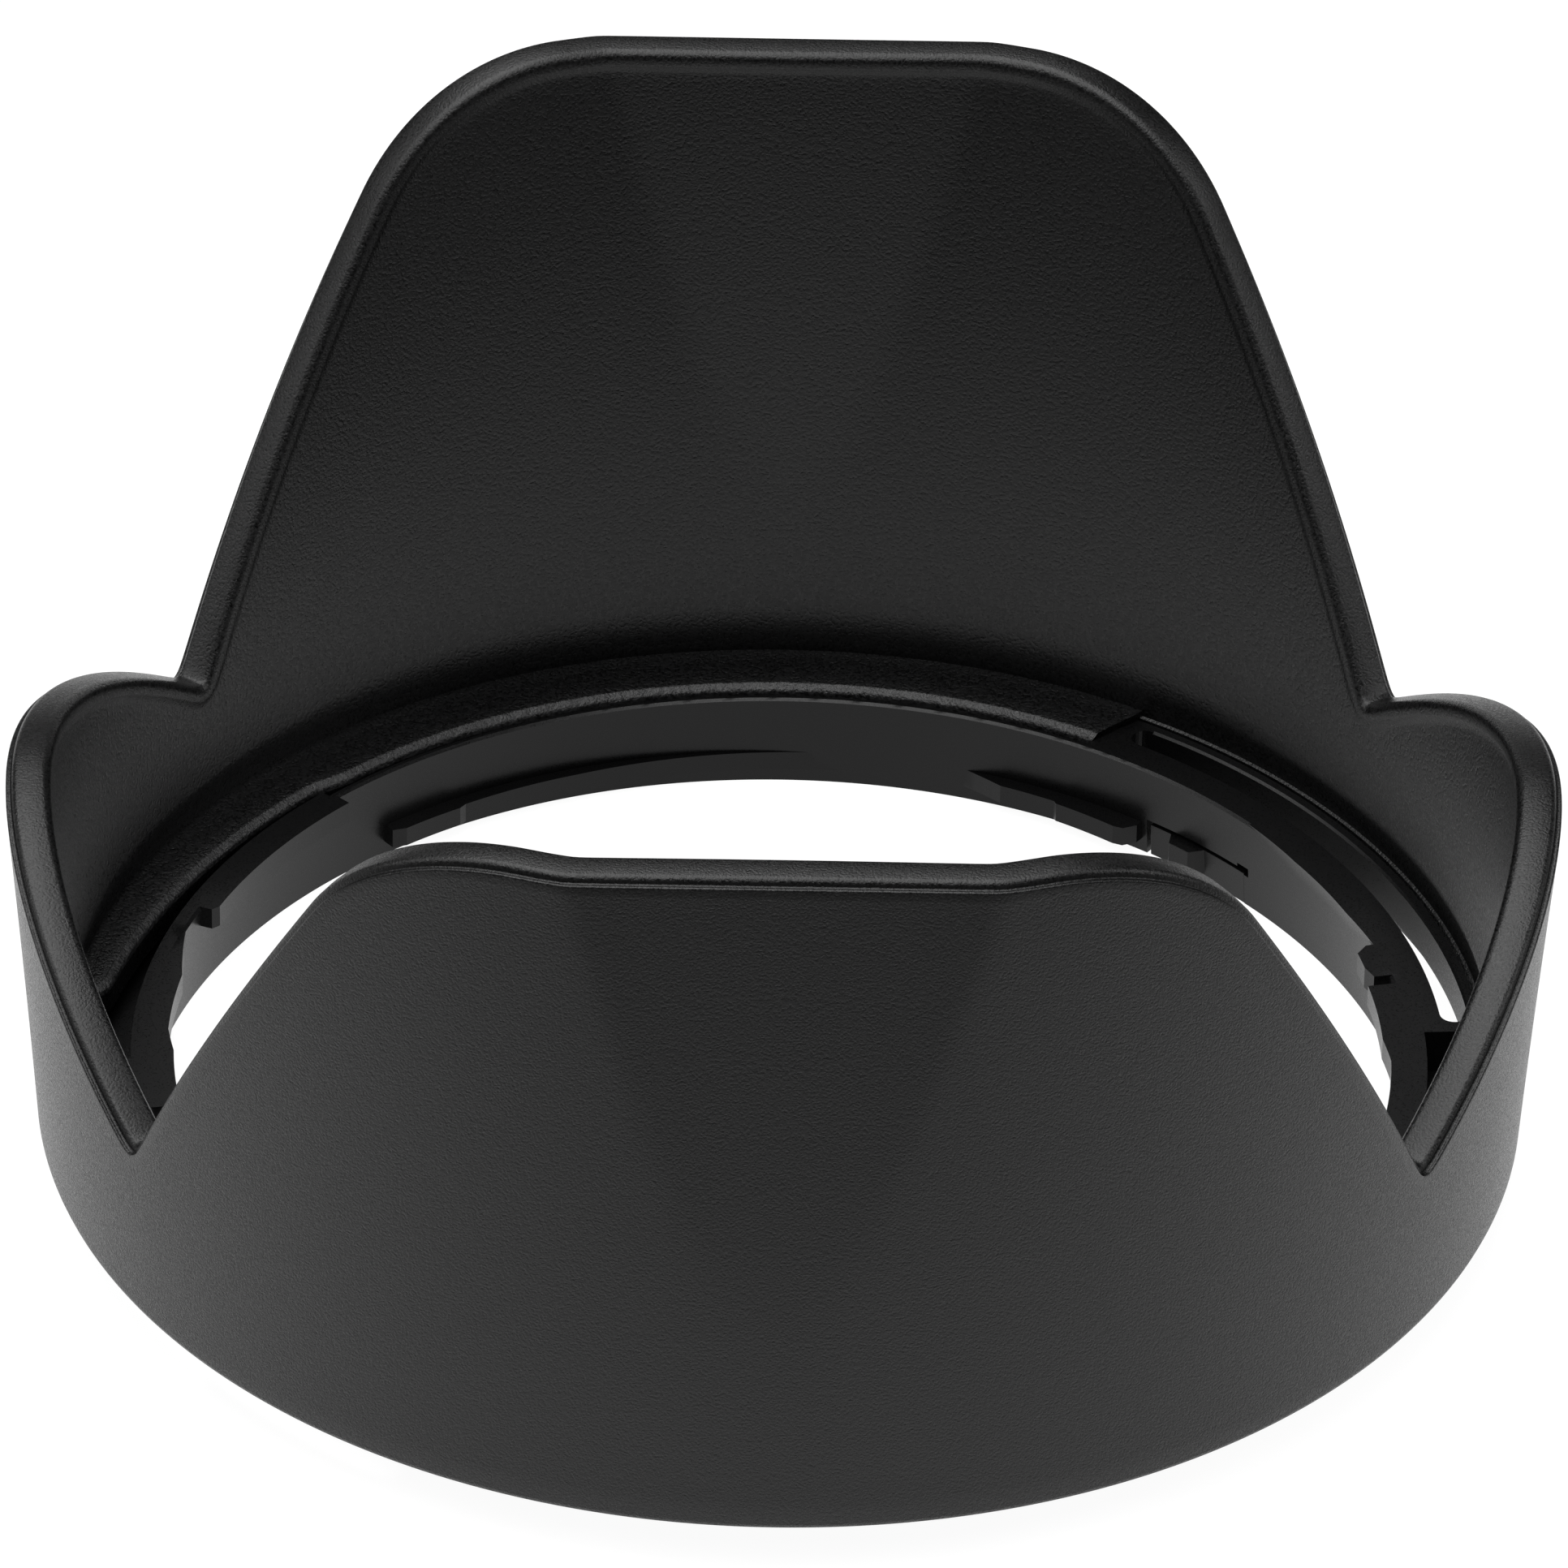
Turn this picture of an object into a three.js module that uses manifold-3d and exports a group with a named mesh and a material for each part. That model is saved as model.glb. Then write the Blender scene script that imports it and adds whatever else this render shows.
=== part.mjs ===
// A petal lens hood: a flared shell with two long and two short petals, the bayonet ring in its foot
// that twists onto a lens, and the two sprung detent fingers that click the ring home.
// Millimetres, +Z up along the optical axis, origin at the centre of the ring's rear face.
// Azimuth is measured from +X: the short petals point along X and the long ones along Y.
import * as THREE from "three";
import { mergeVertices } from "three/addons/utils/BufferGeometryUtils.js";
import Module from "manifold-3d";

const wasm = await Module();
wasm.setup();

// Shell
const FOOT_RADIUS = 44; // outer corner of the shell's foot
const FOOT_Z = 3.6; // height of that corner over the rear face
const FOOT_ROUND = 0.13; // how far the wall stands outside the foot's corner
const FLARE = 0.0566; // outward slope of the wall at the foot
const FLARE_GROWTH = 0.000468; // growth of that slope, per mm
const FLAT_Y = 46.1; // distance of the long petals' flats from the axis, at the rim
const FLAT_SLOPE = 0.034; // outward slope of the flats
const WALL = 2.4; // wall thickness
const COVE = 2.6; // height over the ring at which the wall turns in towards it
const BEAD = 2.3; // width of the raised bead along the rim
const BEAD_STEP = 0.45; // height of the bead over the outer shoulder
const RIM = 2.65; // full thickness of the rim

// Rim, as heights over the foot
const LONG_TOP = 45.4; // long petals
const SHORT_TOP = 22.35; // short petals
const SHORT_FALL = 4.22; // how far a short petal's rim has fallen at SHORT_REFERENCE
const SHORT_REFERENCE = 20; // degrees from its middle
const SHORT_POWER = 1.75; // how its rim falls away
const SLOPE_AZIMUTH = 36.8; // a point on the long petal's straight edge, degrees
const SLOPE_HEIGHT = 15.25; // the edge's height there
const SLOPE = 1.216; // its rise, mm per degree
const CORNER_RADIUS = 16; // round corner of a long petal, on the unrolled wall
const MM_PER_DEGREE = 0.812; // length of a degree on the unrolled wall
const VALLEY_ROUND = 0.45; // softness of the valley between petals

// Ring
const LAND_Z = 6.26; // top of the ring
const BORE_REAR = 37.96; // bore radius at the rear face
const BORE_FRONT = 37.55; // bore radius at the land
const SEAT_RADIUS = 38.9; // outer edge of the flat rear face
const UNDER_SLOPE = 0.69; // slope of the coned underside outside the seat
const RING_RADIUS = 41.95; // outside of the ring, in the shell
const GAP = 0.3; // clearance between touching pieces
const COLLAR_RADIUS = 38; // outside of the collar beside a shoulder
const FLANGE_Z = 4.2; // top of the ring's flange under a shoulder
const POCKET_RADIUS = 38.55; // inner wall of the open pockets
const POCKET_Z = 3.4; // floor of the pockets
const SLOT_INNER = 39.7;
const SLOT_OUTER = 41.4;
const PLATE_Z = 3.76; // underside of the ring where it is a thin plate, round one end of the arc slot
const COLLAR_FOOT = 39.4; // outside of the collar under that plate

// Shoulders of the shell, which reach in over the ring
const SHOULDER_RADIUS = 38.45; // inner edge
const SHOULDER_BACK = 43; // outer side, inside the wall
const SHOULDER_BAND = [0.6, 0.35]; // width and rise of the sloped band behind that edge
const SHOULDER_STEP = [134, 138, 0.5]; // the edge steps back by this much between these azimuths
const SHOULDER_DRAW = [138, 0.00117]; // then draws back, by this much per squared degree
const SHOULDER_FADE = [172, 0.094]; // and fades into the wall
const LEDGE_RISE = 0.2; // rise of the shoulder's top from the band to the wall
const LEDGE_TUCK = 0.3; // how far it runs into the wall

// Azimuths of one half of the ring, in degrees; the other half is the same, half a turn on
const SLOT = [5, 57.7];
const SHOULDER = [60.3, 176];
const FLANGE = [59.8, 137];
const PLATE = [4, 38];
const POCKET = [-43.5, 3.6];
const FINGER = [41.3, 53];
const SPRING_PAD = [18, 40.5];

// Tabs that stand into the bore. Each inner edge runs through these [azimuth, radius] points.
const TAB_Z = [4.85, LAND_Z]; // front tabs, which stop the lens's flange
const STOP_EDGES = [
  [[-43.5, 36.6], [-22, 36.6], [-21.2, 36.9]],
  [[-17, 37.5], [-10, 36.4], [-1, 36.4], [2.5, 36], [11.5, 36]],
  [[12.9, 36.6], [14.5, 36.3], [17, 36.35], [18, 37.1]],
];
const LUG_Z = [0.94, 2.21]; // rear lugs, which hold it
const LUG_EDGES = [
  [[54, 37.3], [54.8, 36.5], [55.8, 36.35], [62.4, 36.6], [62.8, 36.8], [68.5, 36.9], [73, 37.85]],
  [[80, 37.85], [98, 37.5], [110, 37.1], [122, 36.95], [122.8, 36.75], [129, 36.75], [130.3, 37.1]],
];
const TOOTH_Z = [0.5, 2.26];
const TOOTH_EDGE = [[46.6, 37.85], [47.5, 36.95], [49.8, 36.95], [50.6, 37.85]];
const FINGER_TOP = 2.26; // the slit over the finger starts here
const PAD_INSET = 0.35; // how far the sprung pad over the slit stands inside the bore

const SEGMENTS = 180;
const HALF_TURN = 180;
const RADIANS = Math.PI / 180;
const POINTS_PER_ARC_DEGREE = 0.5;

const plastic = { color: 0x2b2b2c, metalness: 0 };
const material = {
  shell: () => new THREE.MeshStandardMaterial({ ...plastic, roughness: 0.5 }),
  ring: () => new THREE.MeshStandardMaterial({ ...plastic, roughness: 0.4 }),
};

// Solids

function solidOf(geometry) {
  const bare = geometry.index ? geometry.toNonIndexed() : geometry.clone();
  bare.deleteAttribute("normal");
  bare.deleteAttribute("uv");
  const merged = mergeVertices(bare, 1e-4);
  return new wasm.Manifold(
    new wasm.Mesh({
      numProp: 3,
      vertProperties: merged.attributes.position.array,
      triVerts: new Uint32Array(merged.index.array),
    }),
  );
}

function meshOf(name, solid, look) {
  const { vertProperties, triVerts } = solid.getMesh();
  const geometry = new THREE.BufferGeometry()
    .setAttribute("position", new THREE.BufferAttribute(vertProperties, 3))
    .setIndex(new THREE.BufferAttribute(triVerts, 1));
  geometry.computeVertexNormals();
  const mesh = new THREE.Mesh(geometry, look);
  mesh.name = name;
  return mesh;
}

// A body turned about the axis, whose closed outline of [radius, height] may change with the azimuth.
function turned(outlineAt) {
  const points = outlineAt(0).length + 1;
  const profile = Array.from({ length: points }, () => new THREE.Vector2(1, 0));
  const lathe = new THREE.LatheGeometry(profile, SEGMENTS);
  const position = lathe.getAttribute("position");
  for (let i = 0; i <= SEGMENTS; i++) {
    const azimuth = (360 * (i % SEGMENTS)) / SEGMENTS;
    const outline = outlineAt(azimuth);
    for (let j = 0; j < points; j++) {
      const [radius, height] = outline[j % outline.length];
      const angle = azimuth * RADIANS;
      position.setXYZ(i * points + j, radius * Math.cos(angle), radius * Math.sin(angle), height);
    }
  }
  return solidOf(lathe);
}

// The points of an arc about the axis.
function arcPoints(radius, from, to) {
  const steps = Math.max(1, Math.round(Math.abs(to - from) * POINTS_PER_ARC_DEGREE));
  return Array.from({ length: steps + 1 }, (_, i) => {
    const angle = (from + ((to - from) * i) / steps) * RADIANS;
    return new THREE.Vector2(radius * Math.cos(angle), radius * Math.sin(angle));
  });
}

// An upright prism over a plan outline.
function prism(outline, bottom, top) {
  const options = { depth: top - bottom, bevelEnabled: false };
  const geometry = new THREE.ExtrudeGeometry(new THREE.Shape(outline), options);
  return solidOf(geometry.translate(0, 0, bottom));
}

// An upright slice of a ring, between two radii and two azimuths.
function slice(inner, outer, [from, to], bottom, top) {
  return prism([...arcPoints(outer, from, to), ...arcPoints(inner, to, from)], bottom, top);
}

// The same solid at both halves of the ring.
function bothHalves(solid) {
  return solid.add(solid.rotate([0, 0, HALF_TURN]));
}

// Petal shell

function longEdge(azimuth) {
  const turn = Math.atan(SLOPE / MM_PER_DEGREE);
  const meet = SLOPE_AZIMUTH + (LONG_TOP - SLOPE_HEIGHT) / SLOPE; // where edge and top would meet
  const centre = meet + (CORNER_RADIUS * Math.tan(turn / 2)) / MM_PER_DEGREE;
  const across = (centre - azimuth) * MM_PER_DEGREE;
  if (across <= 0) return LONG_TOP;
  if (across >= CORNER_RADIUS * Math.sin(turn)) return SLOPE_HEIGHT + (azimuth - SLOPE_AZIMUTH) * SLOPE;
  return LONG_TOP - CORNER_RADIUS + Math.sqrt(CORNER_RADIUS ** 2 - across ** 2);
}

// Height of the rim over the rear face. The two edges cross in the valley between the petals.
function rimHeight(azimuth) {
  const folded = Math.abs(((azimuth + 90) % 180) - 90); // degrees from the nearest short petal
  const long = longEdge(folded);
  const short = SHORT_TOP - SHORT_FALL * (folded / SHORT_REFERENCE) ** SHORT_POWER;
  const higher = (long + short + Math.hypot(long - short, 2 * VALLEY_ROUND)) / 2;
  return FOOT_Z + Math.min(higher, LONG_TOP);
}

// Outer radius of the wall: a flared cone, cut flat in the middle of the long petals.
function wallRadius(azimuth, z) {
  const height = z - FOOT_Z;
  const cone = FOOT_RADIUS + FOOT_ROUND + FLARE * height + FLARE_GROWTH * height * height;
  const flat = FLAT_Y - FLAT_SLOPE * (LONG_TOP - height);
  return Math.min(cone, flat / Math.abs(Math.sin(azimuth * RADIANS)));
}

function shellOutline(azimuth) {
  const rim = rimHeight(azimuth);
  const at = (depth, z) => [wallRadius(azimuth, z) - depth, z];
  const wallInside = RING_RADIUS + GAP;
  const cove = LAND_Z + COVE;
  const between = (share) => cove + (rim - 2 - cove) * share;
  const underZ = (radius) => FOOT_Z - UNDER_SLOPE * (FOOT_RADIUS - radius);
  return [
    [wallInside, underZ(wallInside)],
    [FOOT_RADIUS, FOOT_Z],
    at(0, FOOT_Z + 0.2),
    at(0, between(0.3)),
    at(0, between(0.65)),
    at(0, rim - 1.6),
    at(0.15, rim - BEAD_STEP - 0.15),
    at(0.4, rim - BEAD_STEP),
    at(RIM - BEAD, rim - BEAD_STEP),
    at(RIM - BEAD + 0.1, rim - 0.2),
    at(RIM - BEAD + 0.4, rim),
    at(RIM - 0.5, rim),
    at(RIM - 0.1, rim - 0.35),
    at(RIM, rim - 0.9),
    at(WALL, rim - 1.3),
    at(WALL, between(0.65)),
    at(WALL, between(0.3)),
    at(WALL, cove + 0.6),
    [wallInside, LAND_Z + 1.2],
  ];
}

// Radius of a shoulder's inner edge.
function shoulderEdge(azimuth) {
  const past = (from) => Math.max(0, azimuth - from);
  const [stepFrom, stepTo, step] = SHOULDER_STEP;
  const stepped = step * Math.min(1, past(stepFrom) / (stepTo - stepFrom));
  const drawn = SHOULDER_DRAW[1] * past(SHOULDER_DRAW[0]) ** 2;
  return SHOULDER_RADIUS + stepped + drawn + SHOULDER_FADE[1] * past(SHOULDER_FADE[0]) ** 2;
}

// Outline of a shoulder. Its top is a ledge from the sloped band to the wall.
function shoulderOutline(azimuth) {
  const edge = shoulderEdge(azimuth % HALF_TURN);
  const start = [edge + SHOULDER_BAND[0], LAND_Z + SHOULDER_BAND[1]];
  const top = start[1] + LEDGE_RISE;
  const wall = Math.max(start[0] + 0.1, wallRadius(azimuth, top) - WALL + LEDGE_TUCK);
  return [
    [edge, FLANGE_Z + GAP],
    [SHOULDER_BACK, FLANGE_Z + GAP],
    [SHOULDER_BACK, top],
    [wall, top],
    start,
    [edge + 0.15, LAND_Z + 0.1],
    [edge, LAND_Z - 0.2],
  ];
}

function petalShell() {
  const sector = slice(SHOULDER_RADIUS - 1, FOOT_RADIUS, SHOULDER, 0, LAND_Z + COVE);
  const shoulders = turned(shoulderOutline).intersect(bothHalves(sector));
  return turned(shellOutline).add(shoulders);
}

// Bayonet ring

function ringBlank() {
  const underside = UNDER_SLOPE * (RING_RADIUS - SEAT_RADIUS);
  return turned(() => [
    [BORE_REAR, 0],
    [SEAT_RADIUS, 0],
    [RING_RADIUS, underside],
    [RING_RADIUS, LAND_Z],
    [BORE_FRONT, LAND_Z],
  ]);
}

function arcSlot() {
  const middle = (SLOT_INNER + SLOT_OUTER) / 2;
  const end = (SLOT_OUTER - SLOT_INNER) / 2;
  const inset = end / middle / RADIANS;
  const [from, to] = [SLOT[0] + inset, SLOT[1] - inset];
  const round = (azimuth) => {
    const geometry = new THREE.CylinderGeometry(end, end, 2 * LAND_Z, 24).rotateX(Math.PI / 2);
    const [x, y] = [Math.cos(azimuth * RADIANS) * middle, Math.sin(azimuth * RADIANS) * middle];
    return solidOf(geometry.translate(x, y, LAND_Z / 2));
  };
  return slice(SLOT_INNER, SLOT_OUTER, [from, to], -1, LAND_Z + 1).add(round(from)).add(round(to));
}

// A tab in the bore, with its root in the wall.
function tab(edge, [bottom, top]) {
  const root = BORE_REAR + 0.5;
  const inner = edge.flatMap(([azimuth, radius], i) => {
    const next = edge[i + 1];
    if (!next) return [arcPoints(radius, azimuth, azimuth)[0]];
    const steps = Math.max(1, Math.round((next[0] - azimuth) / 2));
    return Array.from({ length: steps }, (_, s) => {
      const share = s / steps;
      const at = azimuth + (next[0] - azimuth) * share;
      return arcPoints(radius + (next[1] - radius) * share, at, at)[0];
    });
  });
  const [first, last] = [edge[0][0], edge[edge.length - 1][0]];
  return prism([...arcPoints(root, first, last), ...inner.reverse()], bottom, top);
}

function bayonetRing() {
  const stops = STOP_EDGES.map((edge) => tab(edge, TAB_Z));
  const lugs = LUG_EDGES.map((edge) => tab(edge, LUG_Z));
  const pad = turned(() => [
    [BORE_REAR, FINGER_TOP + 1],
    [BORE_REAR, LAND_Z],
    [BORE_FRONT - PAD_INSET, LAND_Z],
  ]).intersect(slice(BORE_FRONT - 1, COLLAR_RADIUS, SPRING_PAD, 0, LAND_Z + 1));
  const fingerGap = GAP / BORE_REAR / RADIANS;
  const fingerSpace = [FINGER[0] - fingerGap, FINGER[1] + fingerGap];
  const cuts = [
    slice(COLLAR_RADIUS, FOOT_RADIUS, FLANGE, FLANGE_Z, LAND_Z + 1),
    slice(POCKET_RADIUS, FOOT_RADIUS, POCKET, POCKET_Z, LAND_Z + 1),
    slice(COLLAR_FOOT, FOOT_RADIUS, PLATE, -1, PLATE_Z),
    arcSlot(),
    slice(BORE_REAR - 2, SLOT_INNER + 0.5, fingerSpace, -1, FINGER_TOP + GAP),
  ];
  let ring = ringBlank();
  for (const piece of [...stops, ...lugs, pad]) ring = ring.add(bothHalves(piece));
  for (const cut of cuts) ring = ring.subtract(bothHalves(cut));
  return ring;
}

// Detent finger: the strip of the collar under a slit, with the tooth that clicks into the lens.
function detentFinger() {
  const strip = turned(() => [
    [BORE_REAR, 0],
    [SEAT_RADIUS, 0],
    [COLLAR_FOOT, UNDER_SLOPE * (COLLAR_FOOT - SEAT_RADIUS)],
    [COLLAR_FOOT, FINGER_TOP],
    [BORE_REAR - 0.15, FINGER_TOP],
  ]).intersect(slice(BORE_REAR - 1, FOOT_RADIUS, FINGER, -1, FINGER_TOP + 1));
  return strip.add(tab(TOOTH_EDGE, TOOTH_Z));
}

const hood = new THREE.Group();
hood.add(meshOf("petal_shell", petalShell(), material.shell()));
hood.add(meshOf("bayonet_ring", bayonetRing(), material.ring()));
for (const [name, turn] of [["detent_finger_right", 0], ["detent_finger_left", HALF_TURN]]) {
  hood.add(meshOf(name, detentFinger().rotate([0, 0, turn]), material.ring()));
}

export default hood;
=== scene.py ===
import math

import bmesh
import bpy
import numpy as np
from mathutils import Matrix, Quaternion, Vector, noise


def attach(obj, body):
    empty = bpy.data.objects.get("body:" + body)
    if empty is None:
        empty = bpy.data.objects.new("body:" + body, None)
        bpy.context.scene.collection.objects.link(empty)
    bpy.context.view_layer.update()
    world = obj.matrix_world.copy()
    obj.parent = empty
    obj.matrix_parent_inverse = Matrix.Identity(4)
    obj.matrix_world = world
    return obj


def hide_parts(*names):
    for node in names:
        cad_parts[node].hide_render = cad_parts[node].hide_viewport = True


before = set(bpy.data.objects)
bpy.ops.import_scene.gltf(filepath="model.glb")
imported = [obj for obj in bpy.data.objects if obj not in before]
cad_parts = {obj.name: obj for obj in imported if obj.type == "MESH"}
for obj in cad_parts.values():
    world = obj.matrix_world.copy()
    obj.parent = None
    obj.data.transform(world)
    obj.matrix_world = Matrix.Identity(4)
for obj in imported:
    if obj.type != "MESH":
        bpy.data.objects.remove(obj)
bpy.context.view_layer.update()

MM = 0.001

# Shell
FOOT_RADIUS = 44.0
FOOT_Z = 3.6
FOOT_ROUND = 0.13
FLARE = 0.0566
FLARE_GROWTH = 0.000468
FLAT_Y = 46.1
FLAT_SLOPE = 0.034
FLAT_SOFTNESS = 0.06
WALL = 2.4
RIM = 2.65
BEAD = 2.3
BEAD_STEP = 0.45
BEAD_OUTER_ROUND = 0.42
BEAD_INNER_ROUND = 0.55
STEP_ROUND = 0.12
LONG_TOP = 45.4
SHORT_TOP = 22.35
SHORT_FALL = 4.22
SHORT_REFERENCE = 20.0
SHORT_POWER = 1.75
SLOPE_AZIMUTH = 36.8
SLOPE_HEIGHT = 15.25
SLOPE = 1.216
CORNER_RADIUS = 16.0
MM_PER_DEGREE = 0.812
VALLEY_ROUND = 0.45
COVE = 2.6

# Ring
LAND_Z = 6.26
BORE_REAR = 37.96
BORE_FRONT = 37.55
SEAT_RADIUS = 38.9
UNDER_SLOPE = 0.69
RING_RADIUS = 42.05
COLLAR_RADIUS = 38.0
FLANGE_Z = 4.2
POCKET_RADIUS = 38.55
POCKET_Z = 3.4
SLOT_INNER = 39.7
SLOT_OUTER = 41.4
PLATE_Z = 3.76
COLLAR_FOOT = 39.4
TOP_CHAMFER = (0.2, 0.13)
SLOT_CHAMFER = 0.14
RING_BEVEL = 0.06
FINGER_BEVEL = 0.05
SLOT = (5.0, 57.7)
SLOT_END = 1.2
FLANGE = (60.3, 137.0)
POCKET = (-43.0, 3.6)
PLATE = (4.0, 38.0)
FINGER = (41.3, 53.0)
FINGER_TOP = 2.26
SLIT = 0.28
SLIT_END = (40.7, 42.2)
TOOTH_RECESS = (46.9, 50.0)
PAD = (18.0, 40.5)
PAD_INSET = 0.25
PAD_FOOT = FINGER_TOP + 0.8
TAB_Z = (4.85, LAND_Z)
STOP_EDGES = (
    ((-43.5, 36.6), (-22, 36.6), (-21.2, 36.9)),
    ((-17, 37.5), (-10, 36.4), (-1, 36.4), (2.5, 36), (11.5, 36)),
    ((12.9, 36.6), (14.5, 36.3), (17, 36.35), (18, 37.1)),
)
LUG_Z = (0.94, 2.21)
LUG_EDGES = (
    ((54, 37.3), (54.8, 36.5), (55.8, 36.35), (62.4, 36.6), (62.8, 36.8), (68.5, 36.9), (73.6, 38.1)),
    ((78, 38.1), (98, 37.5), (110, 37.1), (122, 36.95), (122.8, 36.75), (129, 36.75), (130.3, 37.1)),
)
TOOTH_Z = (0.5, FINGER_TOP)
TOOTH_EDGE = ((46.4, 38.05), (47.4, 36.95), (49.8, 36.95), (50.8, 38.05))

# Shoulders
SHOULDER = (60.3, 176.0)
SHOULDER_RADIUS = 38.45
SHOULDER_BACK = 43.0
SHOULDER_SKEW = 0.5
SKEW_REACH = 6.0
ROUGHNESS = 0.05
ROUGHNESS_SIZE = 0.5
STEP_BACK = (134.0, 138.0, 0.5)
DRAW_BACK = (138.0, 0.00117)
FADE = (172.0, 0.094)
BAND = ((0, -0.3), (0.01, -0.1), (0.04, 0.02), (0.12, 0.12), (0.22, 0.2), (0.33, 0.28), (0.41, 0.36))
BAND_ROW = 3
GAP = 0.3
LEDGE_TUCK = 0.3
LEDGE = ((0.04, 0.02), (0.3, 0.06), (0.6, 0.1), (0.9, 0.14), (1.0, 0.2))

# Camera
AIM_HEIGHT = 24.89
CAMERA_DISTANCE = 705.4
CAMERA_ELEVATION = 33.586
CAMERA_AZIMUTH = -0.146
CAMERA_ROLL = 1.012
LENS = 276.12

# Wear of the plastic
WEAR = 0.25
WEAR_SIZE = 8

# Light of the table, painted as its glow
GLOW = (0.95, 0.15)
GLOW_CENTRE = (0, 40, 0)
GLOW_RADII = (95, 165)
DIM_STRIP = 0.6
STRIP_SIDES = (20, 42)
STRIP_FRONT = (-88, -62)
WORLD_LIGHT = 0.08


# Curves of the shell

def wall_radius(azimuth, z):
    """Outer radius of the wall: a flared cone, cut flat in the middle of the long petals."""
    height = z - FOOT_Z
    cone = FOOT_RADIUS + FOOT_ROUND + FLARE * height + FLARE_GROWTH * height**2
    flat = FLAT_Y - FLAT_SLOPE * (LONG_TOP - height)
    flat = flat / np.maximum(np.abs(np.sin(np.radians(azimuth))), 0.2)
    return (cone + flat - np.hypot(cone - flat, 2 * FLAT_SOFTNESS)) / 2


def long_edge(azimuth):
    turn = math.atan(SLOPE / MM_PER_DEGREE)
    meet = SLOPE_AZIMUTH + (LONG_TOP - SLOPE_HEIGHT) / SLOPE
    centre = meet + CORNER_RADIUS * math.tan(turn / 2) / MM_PER_DEGREE
    across = np.clip((centre - azimuth) * MM_PER_DEGREE, 0, CORNER_RADIUS)
    corner = LONG_TOP - CORNER_RADIUS + np.sqrt(CORNER_RADIUS**2 - across**2)
    straight = SLOPE_HEIGHT + (azimuth - SLOPE_AZIMUTH) * SLOPE
    return np.where(across < CORNER_RADIUS * math.sin(turn), corner, straight)


def rim_height(azimuth):
    """Height of the rim over the rear face. Two edges cross in each valley between the petals."""
    folded = np.abs((azimuth + 90) % 180 - 90)
    long = long_edge(folded)
    short = SHORT_TOP - SHORT_FALL * (folded / SHORT_REFERENCE) ** SHORT_POWER
    higher = (long + short + np.hypot(long - short, 2 * VALLEY_ROUND)) / 2
    return FOOT_Z + np.minimum(higher, LONG_TOP)


def round_corner(centre, radius, start, end, points=5):
    """Points of an arc on a section. Angles are degrees: 0 is inwards, 90 is down."""
    angles = np.radians(np.linspace(start, end, points))
    return [(centre[0] + radius * math.cos(a), centre[1] + radius * math.sin(a)) for a in angles]


def lip_section():
    """The rim's section, as [depth from the outer face, drop from the top], from outside to inside."""
    step = RIM - BEAD
    return [
        (0, 1.8),
        (0, 1.1),
        *round_corner((STEP_ROUND, BEAD_STEP + STEP_ROUND), STEP_ROUND, 180, 270),
        (step * 0.5, BEAD_STEP + 0.02),
        *round_corner((step - STEP_ROUND, BEAD_STEP - 0.1), STEP_ROUND, 90, 0, 4),
        *round_corner((step + BEAD_OUTER_ROUND, 0.4), BEAD_OUTER_ROUND, 185, 264, 8),
        (step + BEAD / 2 - 0.1, -0.05),
        *round_corner((RIM - BEAD_INNER_ROUND, 0.53), BEAD_INNER_ROUND, 276, 360, 9),
        (RIM, 0.85),
        (RIM - 0.05, 1.0),
        (WALL + 0.03, 1.25),
        (WALL, 1.6),
        (WALL, 2.2),
    ]


def column_azimuths(count):
    """Azimuths of the shell's columns, closer together in the valleys."""
    grid = np.linspace(0, 360, 7201)
    quarter = grid[grid <= 90]
    valley = quarter[np.argmin(rim_height(quarter))]
    folded = np.abs((grid + 90) % 180 - 90)
    density = np.cumsum(1 + 5 * np.exp(-(((folded - valley) / 2) ** 2)))
    density = (density - density[0]) / (density[-1] - density[0])
    return np.interp(np.arange(count) / count, density, grid)


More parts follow.
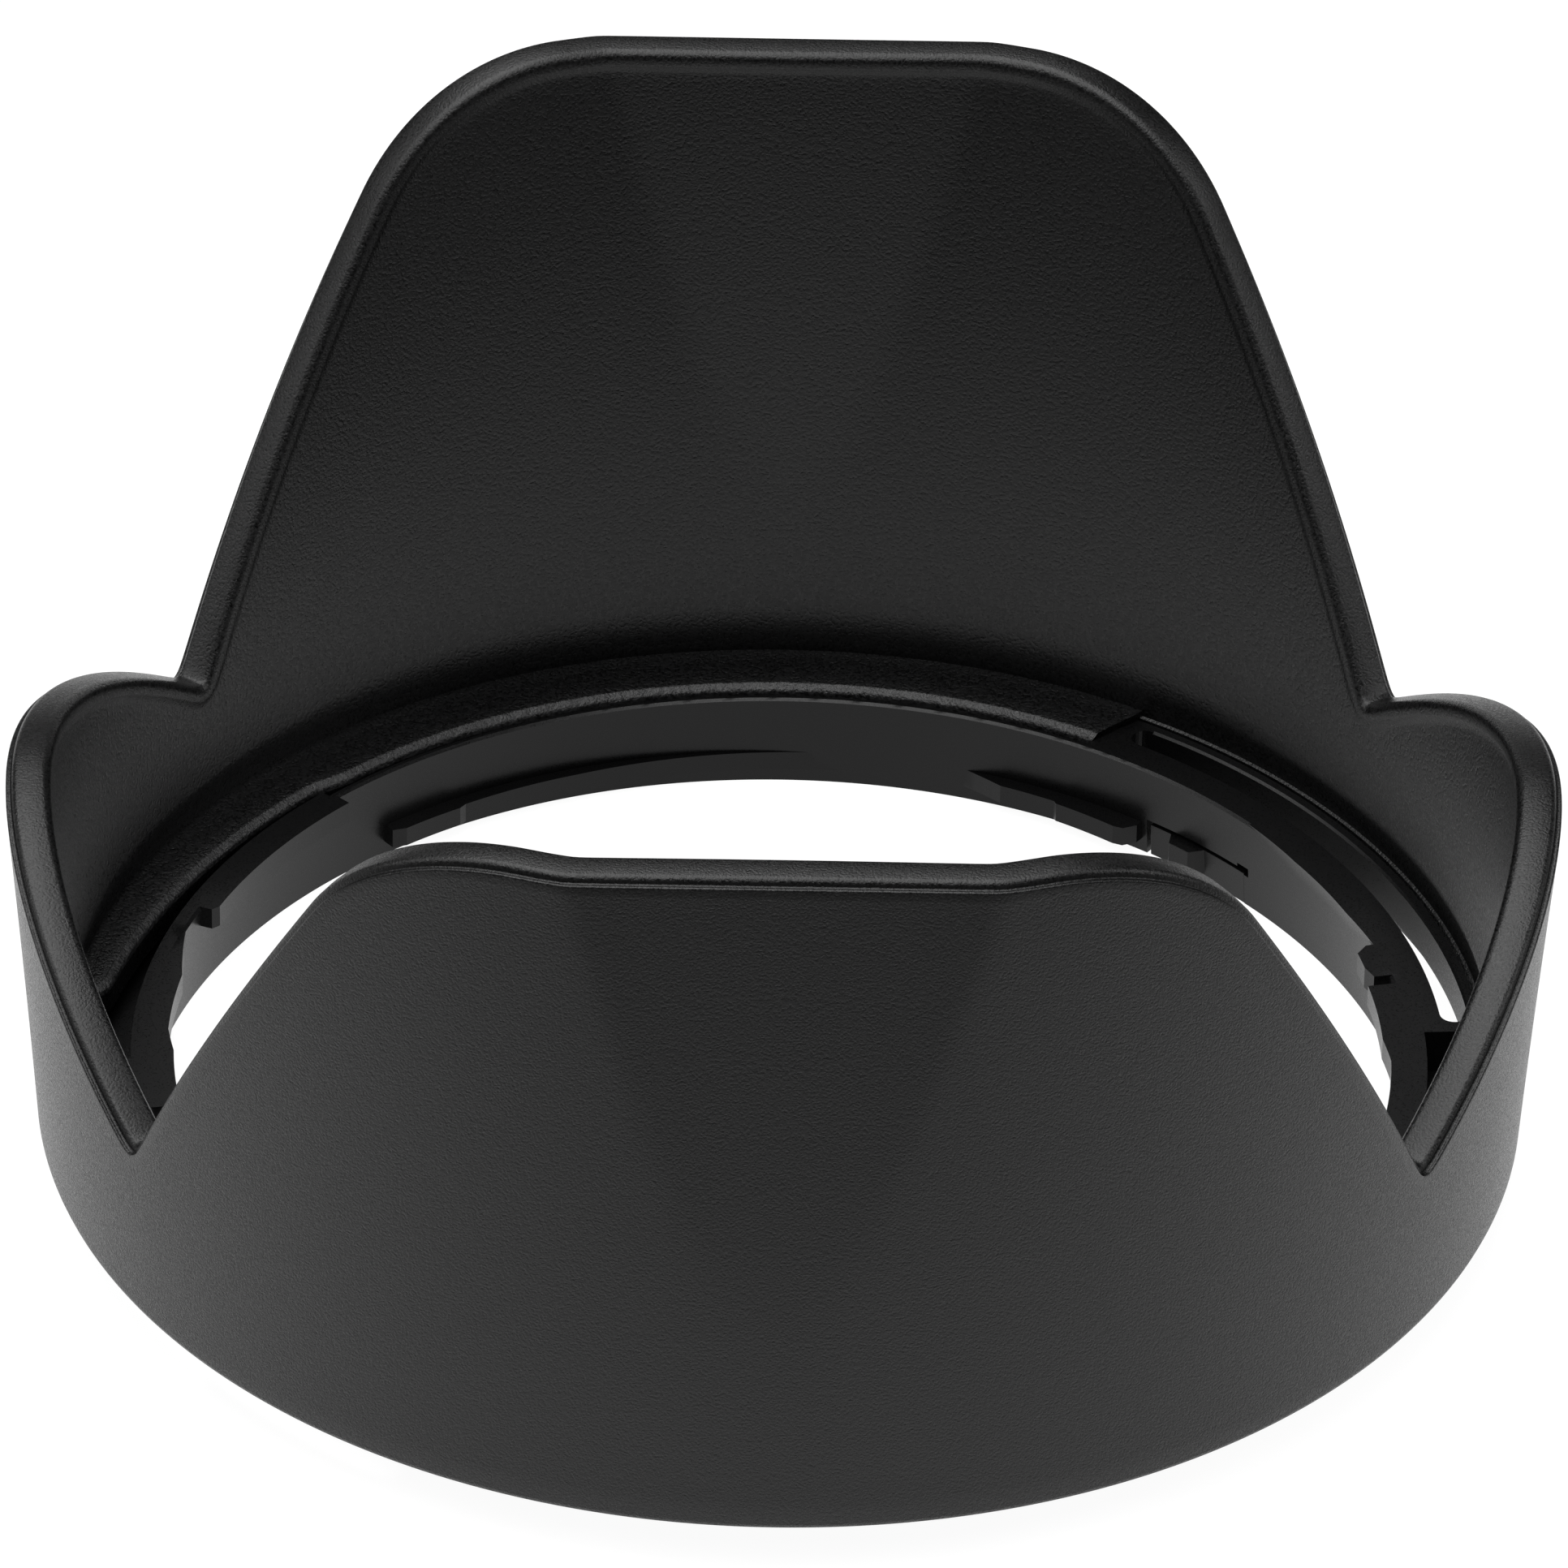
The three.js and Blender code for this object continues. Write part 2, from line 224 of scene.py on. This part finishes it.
def shell_grid(columns=900, wall_rows=26):
    """Points of the shell, [column, row, xyz], and its lip's rows. Both directions close on themselves."""
    azimuth = column_azimuths(columns)
    rim = rim_height(azimuth)
    nudge = 0.02
    per_degree = np.radians(wall_radius(azimuth, rim))
    slope = (rim_height(azimuth + nudge) - rim_height(azimuth - nudge)) / (2 * nudge * per_degree)
    lean = np.arctan(slope)
    rows = []

    def on_wall(angle, z, depth):
        rows.append((angle, z, wall_radius(angle, z) - depth))

    def lip_place(drop):
        return azimuth + drop * np.sin(lean) / per_degree, rim - drop * np.cos(lean)

    section = lip_section()
    inside = RING_RADIUS + 0.2
    rows.append((azimuth, np.full(columns, FOOT_Z - UNDER_SLOPE * (FOOT_RADIUS - inside)), inside))
    rows.append((azimuth, np.full(columns, FOOT_Z - 0.14), FOOT_RADIUS - 0.2))
    rows.append((azimuth, np.full(columns, FOOT_Z - 0.03), FOOT_RADIUS - 0.04))
    rows.append((azimuth, np.full(columns, FOOT_Z + 0.06), FOOT_RADIUS + 0.05))
    angle, z = lip_place(section[0][1])
    for share in np.linspace(0, 1, wall_rows + 1)[:-1]:
        on_wall(azimuth + (angle - azimuth) * share, FOOT_Z + 0.3 + (z - FOOT_Z - 0.3) * share, 0)
    for depth, drop in section:
        angle, z = lip_place(drop)
        on_wall(angle, z, depth)
    floor = LAND_Z + COVE
    for share in np.linspace(0, 1, wall_rows + 1)[1:]:
        on_wall(angle + (azimuth - angle) * share, z + (floor - z) * share, WALL)
    lip_rows = (4 + wall_rows + 1, 4 + wall_rows + len(section) - 2)
    rows.append((azimuth, np.full(columns, LAND_Z + 1.6), inside + 0.12))
    rows.append((azimuth, np.full(columns, LAND_Z + 0.3), inside + 0.1))
    rows.append((azimuth, np.full(columns, LAND_Z + 0.2), inside + 0.08))
    rows.append((azimuth, np.full(columns, LAND_Z + 0.1), inside - 0.08))
    rows.append((azimuth, np.full(columns, LAND_Z - 0.2), inside - 0.1))
    points = np.empty((columns, len(rows), 3))
    for j, (angle, z, radius) in enumerate(rows):
        points[:, j, 0] = radius * np.cos(np.radians(angle))
        points[:, j, 1] = radius * np.sin(np.radians(angle))
        points[:, j, 2] = z
    return points, lip_rows


# Meshes

def link(name, mesh):
    piece = bpy.data.objects.new(name, mesh)
    bpy.context.scene.collection.objects.link(piece)
    return piece


def mesh_of(name, points, faces):
    mesh = bpy.data.meshes.new(name)
    mesh.from_pydata([tuple(p) for p in np.asarray(points) * MM], [], faces)
    mesh.validate()
    return mesh


def grid_faces(columns, rows, closed_columns, closed_rows):
    """Quads of a grid of points numbered column by column."""
    faces = []
    for i in range(columns if closed_columns else columns - 1):
        for j in range(rows if closed_rows else rows - 1):
            a, b = i * rows, (i + 1) % columns * rows
            up = (j + 1) % rows
            faces.append((a + j, b + j, b + up, a + up))
    return faces


def turned(section, start=0.0, end=360.0, step=1.0):
    """A closed section of [radius, height] turned about the axis, with flat ends short of a full turn."""
    whole = end - start >= 360
    steps = max(2, round((end - start) / step))
    columns = steps if whole else steps + 1
    points = []
    for i in range(columns):
        angle = math.radians(start + (end - start) * i / steps)
        outline = section(i / steps) if callable(section) else section
        points += [(r * math.cos(angle), r * math.sin(angle), z) for r, z in outline]
    rows = len(points) // columns
    faces = grid_faces(columns, rows, whole, True)
    if not whole:
        faces.append(tuple(reversed(range(rows))))
        faces.append(tuple(range((columns - 1) * rows, columns * rows)))
    return facing_out(mesh_of("turned", points, faces))


def facing_out(mesh):
    bm = bmesh.new()
    bm.from_mesh(mesh)
    bmesh.ops.recalc_face_normals(bm, faces=bm.faces)
    bm.to_mesh(mesh)
    bm.free()
    return mesh


def arc(radius, start, end, step=1.0):
    steps = max(1, round(abs(end - start) / step))
    angles = [math.radians(start + (end - start) * i / steps) for i in range(steps + 1)]
    return [(radius * math.cos(a), radius * math.sin(a)) for a in angles]


def prism(outline, bottom, top):
    count = len(outline)
    points = [(x, y, bottom) for x, y in outline] + [(x, y, top) for x, y in outline]
    faces = [tuple(reversed(range(count))), tuple(range(count, 2 * count))]
    faces += [(i, (i + 1) % count, count + (i + 1) % count, count + i) for i in range(count)]
    return facing_out(mesh_of("prism", points, faces))


def sector(inner, outer, start, end, bottom, top):
    return prism(arc(outer, start, end) + arc(inner, end, start), bottom, top)


def tab(edge, heights):
    """A tab in the bore, with its root in the wall and its inner edge through [azimuth, radius] points."""
    inner = []
    for (a, r), (b, s) in zip(edge, edge[1:]):
        steps = max(1, round(b - a))
        for i in range(steps):
            inner += arc(r + (s - r) * i / steps, a + (b - a) * i / steps, a + (b - a) * i / steps)[:1]
    inner += arc(edge[-1][1], edge[-1][0], edge[-1][0])[:1]
    root = arc(BORE_REAR + 0.4, edge[0][0], edge[-1][0])
    return prism(root + inner[::-1], *heights)


def half_turned(mesh):
    """A copy of the mesh, half a turn on."""
    copy = mesh.copy()
    for vertex in copy.vertices:
        vertex.co.x, vertex.co.y = -vertex.co.x, -vertex.co.y
    return copy


def combined(mesh, tool, operation):
    """mesh with the tool's mesh added, cut away or kept in common."""
    piece, other = link("work", mesh), link("tool", tool)
    modifier = piece.modifiers.new("combine", "BOOLEAN")
    modifier.operation = operation
    modifier.solver = "EXACT"
    modifier.object = other
    graph = bpy.context.evaluated_depsgraph_get()
    result = bpy.data.meshes.new_from_object(piece.evaluated_get(graph), depsgraph=graph)
    for o in (piece, other):
        bpy.data.objects.remove(o)
    bm = bmesh.new()
    bm.from_mesh(result)
    bmesh.ops.remove_doubles(bm, verts=bm.verts, dist=0.003 * MM)
    bm.to_mesh(result)
    bm.free()
    return result


def finished(name, mesh, sharp_angle=40):
    """A smooth piece, with an edge only where its faces meet at more than sharp_angle."""
    for polygon in mesh.polygons:
        polygon.use_smooth = True
    mesh.set_sharp_from_angle(angle=math.radians(sharp_angle))
    return link(name, mesh)


def bevelled(name, mesh, edge):
    """The piece with softened edges. Round faces shade as turned surfaces and flat ones as planes."""
    piece = link("work", mesh)
    bevel = piece.modifiers.new("edges", "BEVEL")
    bevel.limit_method = "ANGLE"
    bevel.angle_limit = math.radians(30)
    bevel.width = edge * MM
    bevel.segments = 2
    bevel.use_clamp_overlap = True
    graph = bpy.context.evaluated_depsgraph_get()
    soft = bpy.data.meshes.new_from_object(piece.evaluated_get(graph), depsgraph=graph)
    bpy.data.objects.remove(piece)
    for polygon in soft.polygons:
        polygon.use_smooth = True
    soft.normals_split_custom_set(edge_normals(soft))
    return link(name, soft)


def edge_normals(mesh):
    """Normals of the mesh's corners. A bevel's corner takes its normal from the largest face it touches."""
    largest = {}
    for face in mesh.polygons:
        for v in face.vertices:
            if v not in largest or face.area > largest[v].area:
                largest[v] = face

    def normal_at(face, v):
        out = Vector((face.center.x, face.center.y, 0)).normalized()
        radial = face.normal.dot(out)
        across = face.normal - radial * out
        if abs(radial) < 0.1 or math.hypot(across.x, across.y) > 0.1:
            return face.normal
        place = mesh.vertices[v].co
        outwards = Vector((place.x, place.y, 0)).normalized()
        return (radial * outwards + Vector((0, 0, face.normal.z))).normalized()

    normals = []
    for face in mesh.polygons:
        for v in face.vertices:
            main = largest[v]
            narrow = face.area < 0.25 * main.area and face.normal.dot(main.normal) > 0.5
            normals.append(normal_at(main if narrow else face, v))
    return normals


# Pieces

def make_shell():
    points, (lip_start, lip_end) = shell_grid()
    columns, rows = points.shape[:2]
    mesh = facing_out(mesh_of("petal_shell", points.reshape(-1, 3), grid_faces(columns, rows, True, True)))
    for face in mesh.polygons:
        row = face.index % rows
        face.material_index = OUTSIDE if row < lip_start else LIP if row < lip_end else INSIDE
    return finished("hood_shell", mesh)


def shoulder_edge(azimuth):
    """Radius of a shoulder's inner edge. It draws back into the wall over the open pocket."""
    start, stop, step = STEP_BACK
    stepped = step * min(1.0, max(0.0, azimuth - start) / (stop - start))
    drawn = DRAW_BACK[1] * max(0.0, azimuth - DRAW_BACK[0]) ** 2
    return SHOULDER_RADIUS + stepped + drawn + FADE[1] * max(0.0, azimuth - FADE[0]) ** 2


def make_shoulder():
    """A rough shoulder that reaches in from the wall over the ring's flange."""
    start, end = SHOULDER

    def section(share):
        azimuth = start + (end - start) * share
        edge = shoulder_edge(azimuth)
        outline = [(edge + across, LAND_Z + rise) for across, rise in BAND]
        foot, floor = outline[-1]
        wall = wall_radius(azimuth, floor) - WALL + LEDGE_TUCK
        reach = max(0.1, wall - foot)
        outline += [(foot + reach * share, floor + rise) for share, rise in LEDGE]
        under = FLANGE_Z + GAP
        return [(SHOULDER_BACK, outline[-1][1]), (SHOULDER_BACK, under), (edge, under), *outline]

    mesh = turned(section, start, end, step=0.25)
    for vertex in mesh.vertices:
        radius = math.hypot(vertex.co.x, vertex.co.y) / MM
        past = math.degrees(math.atan2(vertex.co.y, vertex.co.x)) - start
        back = SHOULDER_SKEW * (radius - SHOULDER_RADIUS) * max(0.0, 1 - past / SKEW_REACH)
        turn = Quaternion((0, 0, 1), -math.radians(back))
        vertex.co = turn @ vertex.co
    rows = len(section(0))
    band = range(BAND_ROW, BAND_ROW + len(BAND) - 1)
    for vertex in mesh.vertices:
        if vertex.index % rows in band:
            vertex.co.z += ROUGHNESS * MM * noise.noise(vertex.co / (ROUGHNESS_SIZE * MM))
    for face in mesh.polygons:
        face.material_index = ROUGH if face.index % rows in band else INSIDE
    return mesh


def ring_blank():
    under = UNDER_SLOPE * (RING_RADIUS - SEAT_RADIUS)
    return turned([
        (BORE_REAR, 0),
        (SEAT_RADIUS, 0),
        (RING_RADIUS, under),
        (RING_RADIUS, LAND_Z),
        (BORE_FRONT + TOP_CHAMFER[0], LAND_Z),
        (BORE_FRONT, LAND_Z - TOP_CHAMFER[1]),
    ])


def arc_slot():
    middle = (SLOT_INNER + SLOT_OUTER) / 2
    end = (SLOT_OUTER - SLOT_INNER) / 2
    inset = math.degrees(end / middle)
    start, stop = SLOT[0] + inset, SLOT[1] - inset
    outline = arc(SLOT_OUTER, start, stop)

    def round_end(azimuth, first):
        x, y = arc(middle, azimuth, azimuth)[0]
        for i in range(1, 12):
            angle = math.radians(azimuth + first + 15 * i)
            outline.append((x + end * math.cos(angle), y + end * math.sin(angle)))

    round_end(stop, 0)
    outline.extend(arc(SLOT_INNER, stop, start))
    round_end(start, 180)
    return prism(outline, -1, LAND_Z + 1)


def slot_chamfer():
    """What is cut from the top edge of the slot's outer side."""
    over = 0.1
    return turned([
        (SLOT_OUTER - over, LAND_Z - SLOT_CHAMFER - over),
        (SLOT_OUTER + SLOT_CHAMFER + over, LAND_Z + over),
        (SLOT_OUTER - over, LAND_Z + over),
    ], SLOT[0] + SLOT_END, SLOT[1] - SLOT_END)


def spring_pad():
    """The part of the bore over the finger, which leans in further and keeps a sharp top edge."""
    def section(share):
        inset = PAD_INSET * min(1.0, 4 * share, 3 * (1 - share)) - 0.02
        root = BORE_REAR + 0.1
        return [(root, PAD_FOOT), (root, LAND_Z), (BORE_FRONT - inset, LAND_Z)]
    return turned(section, *PAD, step=0.75)


def make_ring():
    ring = ring_blank()
    additions = [spring_pad()]
    additions += [tab(edge, TAB_Z) for edge in STOP_EDGES] + [tab(edge, LUG_Z) for edge in LUG_EDGES]
    through = BORE_REAR - 2
    cuts = [
        sector(COLLAR_RADIUS, 45, *FLANGE, FLANGE_Z, LAND_Z + 1),
        sector(POCKET_RADIUS, 45, *POCKET, POCKET_Z, LAND_Z + 1),
        sector(COLLAR_FOOT, 45, *PLATE, -1, PLATE_Z),
        arc_slot(),
        slot_chamfer(),
        sector(through, SLOT_INNER + 0.5, FINGER[0], FINGER[1] + 0.4, -1, FINGER_TOP + SLIT),
        sector(through, SLOT_INNER + 0.5, *SLIT_END, FINGER_TOP - 0.1, FINGER_TOP + SLIT + 0.25),
        sector(through, BORE_REAR + 0.5, *TOOTH_RECESS, FINGER_TOP, FINGER_TOP + SLIT + 0.5),
    ]
    for mesh in additions:
        for part in (mesh, half_turned(mesh)):
            ring = combined(ring, part, "UNION")
    for mesh in cuts:
        for part in (mesh, half_turned(mesh)):
            ring = combined(ring, part, "DIFFERENCE")
    return bevelled("bayonet_ring_detail", ring, RING_BEVEL)


def make_finger():
    strip = combined(ring_blank(), sector(BORE_REAR - 2, COLLAR_FOOT, *FINGER, -1, FINGER_TOP), "INTERSECT")
    return combined(strip, tab(TOOTH_EDGE, TOOTH_Z), "UNION")


# Materials

def plastic(name, colour, roughness, specular, grain, depth, speckle=0.3, patchy=0.06):
    """Black moulded plastic.

    grain is the size of its texture in mm and depth the height of its bumps. speckle is the share by
    which its colour varies, and patchy how much its roughness does.
    """
    material = bpy.data.materials.new(name)
    material.use_nodes = True
    nodes, links = material.node_tree.nodes, material.node_tree.links
    shader = nodes["Principled BSDF"]
    shader.inputs["Specular IOR Level"].default_value = specular
    place = nodes.new("ShaderNodeTexCoord")
    fine = nodes.new("ShaderNodeTexNoise")
    fine.inputs["Scale"].default_value = 1 / (grain * MM)
    fine.inputs["Detail"].default_value = 3
    fine.inputs["Roughness"].default_value = 0.6
    wide = nodes.new("ShaderNodeTexNoise")
    wide.inputs["Scale"].default_value = 1 / (WEAR_SIZE * MM)
    wide.inputs["Detail"].default_value = 4
    contrast = nodes.new("ShaderNodeMapRange")
    contrast.inputs["From Min"].default_value = 0.35
    contrast.inputs["From Max"].default_value = 0.65
    tint = nodes.new("ShaderNodeMix")
    tint.data_type = "RGBA"
    tint.inputs["A"].default_value = (*[c * (1 - speckle) for c in colour], 1)
    tint.inputs["B"].default_value = (*[c * (1 + speckle) for c in colour], 1)
    worn = nodes.new("ShaderNodeMix")
    worn.data_type = "RGBA"
    worn.blend_type = "MULTIPLY"
    worn.inputs["Factor"].default_value = WEAR
    gloss = nodes.new("ShaderNodeMapRange")
    gloss.inputs["To Min"].default_value = roughness - patchy
    gloss.inputs["To Max"].default_value = roughness + patchy
    bump = nodes.new("ShaderNodeBump")
    bump.inputs["Distance"].default_value = depth * MM
    bump.inputs["Strength"].default_value = 1.0
    for texture in (fine, wide):
        links.new(place.outputs["Object"], texture.inputs["Vector"])
    links.new(fine.outputs["Fac"], contrast.inputs["Value"])
    links.new(contrast.outputs["Result"], tint.inputs["Factor"])
    links.new(tint.outputs["Result"], worn.inputs["A"])
    links.new(wide.outputs["Fac"], worn.inputs["B"])
    links.new(worn.outputs["Result"], shader.inputs["Base Color"])
    links.new(contrast.outputs["Result"], gloss.inputs["Value"])
    links.new(gloss.outputs["Result"], shader.inputs["Roughness"])
    links.new(fine.outputs["Fac"], bump.inputs["Height"])
    links.new(bump.outputs["Normal"], shader.inputs["Normal"])
    return material


# Stage

def make_floor():
    """A white table that glows by emission, even round the hood. The glow is painted light: it falls off
    beyond as a painted pool of light, and a painted shadow dims a strip in front.
    """
    side = 3000
    corners = [(-side, -side, 0), (side, -side, 0), (side, side, 0), (-side, side, 0)]
    mesh = mesh_of("floor", corners, [(0, 1, 2, 3)])
    floor = link("floor", mesh)
    material = bpy.data.materials.new("lit_table")
    material.use_nodes = True
    nodes, links = material.node_tree.nodes, material.node_tree.links
    shader = nodes["Principled BSDF"]
    shader.inputs["Base Color"].default_value = (0.1, 0.1, 0.1, 1)
    shader.inputs["Roughness"].default_value = 0.9
    shader.inputs["Specular IOR Level"].default_value = 0.1
    shader.inputs["Emission Color"].default_value = (1, 1, 1, 1)
    place = nodes.new("ShaderNodeTexCoord")
    centred = nodes.new("ShaderNodeVectorMath")
    centred.operation = "DISTANCE"
    centred.inputs[1].default_value = tuple(c * MM for c in GLOW_CENTRE)
    # Painted pool of light: the glow fades from GLOW[0] to GLOW[1] between GLOW_RADII round GLOW_CENTRE.
    falloff = nodes.new("ShaderNodeMapRange")
    falloff.interpolation_type = "SMOOTHSTEP"
    falloff.inputs["From Min"].default_value = GLOW_RADII[0] * MM
    falloff.inputs["From Max"].default_value = GLOW_RADII[1] * MM
    falloff.inputs["To Min"].default_value = GLOW[0]
    falloff.inputs["To Max"].default_value = GLOW[1]
    links.new(place.outputs["Object"], centred.inputs[0])
    links.new(centred.outputs["Value"], falloff.inputs["Value"])

    def math_node(operation, *inputs):
        node = nodes.new("ShaderNodeMath")
        node.operation = operation
        for socket, value in zip(node.inputs, inputs):
            if isinstance(value, (int, float)):
                socket.default_value = value
            else:
                links.new(value, socket)
        return node.outputs["Value"]

    def ramp(value, limits, low=0.0):
        node = nodes.new("ShaderNodeMapRange")
        node.interpolation_type = "SMOOTHSTEP"
        node.inputs["From Min"].default_value = limits[0] * MM
        node.inputs["From Max"].default_value = limits[1] * MM
        node.inputs["To Min"].default_value = low
        links.new(value, node.inputs["Value"])
        return node.outputs["Result"]

    # Painted shadow: the glow drops to DIM_STRIP in a strip in front of the hood, narrower than STRIP_SIDES
    # and further out than STRIP_FRONT.
    axes = nodes.new("ShaderNodeSeparateXYZ")
    links.new(place.outputs["Object"], axes.inputs["Vector"])
    beside = ramp(math_node("ABSOLUTE", axes.outputs["X"]), STRIP_SIDES, DIM_STRIP)
    behind = ramp(axes.outputs["Y"], STRIP_FRONT, DIM_STRIP)
    strip = math_node("MAXIMUM", beside, behind)
    strength = math_node("MULTIPLY", falloff.outputs["Result"], strip)
    links.new(strength, shader.inputs["Emission Strength"])
    mesh.materials.append(material)


def make_light(name, place, size, power):
    lamp = bpy.data.lights.new(name, "AREA")
    lamp.shape = "RECTANGLE"
    lamp.size, lamp.size_y = (s * MM for s in size)
    lamp.energy = power
    light = link(name, lamp)
    light.location = Vector(place) * MM
    light.rotation_mode = "QUATERNION"
    aim = Vector((0, 0, AIM_HEIGHT)) * MM
    light.rotation_quaternion = (aim - light.location).to_track_quat("-Z", "Y")
    return light


def make_camera():
    data = bpy.data.cameras.new("camera")
    data.sensor_width = 36
    data.lens = LENS
    data.clip_start = 0.05
    data.clip_end = 20
    camera = link("camera", data)
    azimuth, elevation = math.radians(CAMERA_AZIMUTH), math.radians(CAMERA_ELEVATION)
    flat = math.cos(elevation)
    back = Vector((math.sin(azimuth) * flat, -math.cos(azimuth) * flat, math.sin(elevation)))
    camera.location = (Vector((0, 0, AIM_HEIGHT)) + back * CAMERA_DISTANCE) * MM
    camera.rotation_mode = "QUATERNION"
    roll = Quaternion((0, 0, 1), math.radians(CAMERA_ROLL))
    camera.rotation_quaternion = (-back).to_track_quat("-Z", "Y") @ roll
    bpy.context.scene.camera = camera


def make_world():
    world = bpy.data.worlds.new("studio")
    bpy.context.scene.world = world
    world.use_nodes = True
    world.node_tree.nodes["Background"].inputs["Color"].default_value = (1, 1, 1, 1)
    world.node_tree.nodes["Background"].inputs["Strength"].default_value = WORLD_LIGHT


OUTSIDE, LIP, INSIDE, ROUGH = range(4)
SHELL_PLASTICS = (
    plastic("satin_outside", (0.004, 0.004, 0.0042), 0.31, 0.31, 0.15, 0.08, 0.95, 0.12),
    plastic("satin_lip", (0.003, 0.003, 0.0031), 0.3, 0.31, 0.15, 0.05, 0.9, 0.08),
    plastic("grained_inside", (0.001, 0.001, 0.0011), 0.32, 0.35, 0.2, 0.06, 0.95, 0.1),
    plastic("rough_shoulder", (0.008, 0.008, 0.0083), 0.4, 0.42, 0.22, 0.09, 0.9),
)
ring_plastic = plastic("smooth_ring", (0.0022, 0.0022, 0.0023), 0.32, 0.21, 0.1, 0.004)

shell = make_shell()
shoulder = make_shoulder()
pieces = [shell]
for side, mesh in (("right", shoulder), ("left", half_turned(shoulder))):
    pieces.append(finished("shoulder_" + side, mesh, sharp_angle=70))
for piece in pieces:
    for material in SHELL_PLASTICS:
        piece.data.materials.append(material)
    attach(piece, "hood")
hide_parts("petal_shell")

ring = make_ring()
ring.data.materials.append(ring_plastic)
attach(ring, "hood")
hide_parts("bayonet_ring")

finger = make_finger()
for side, mesh in (("right", finger), ("left", half_turned(finger))):
    piece = bevelled("finger_" + side, mesh, FINGER_BEVEL)
    piece.data.materials.append(ring_plastic)
    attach(piece, "finger_" + side)
    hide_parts("detent_finger_" + side)

make_floor()
make_world()
make_light("top_softbox", (-120, -20, 880), (1700, 700), 18)
make_light("left_softbox", (-860, -60, 560), (520, 460), 3.2)
make_light("right_softbox", (860, -60, 560), (520, 460), 3.2)
make_camera()
bpy.context.scene.view_settings.view_transform = "Standard"
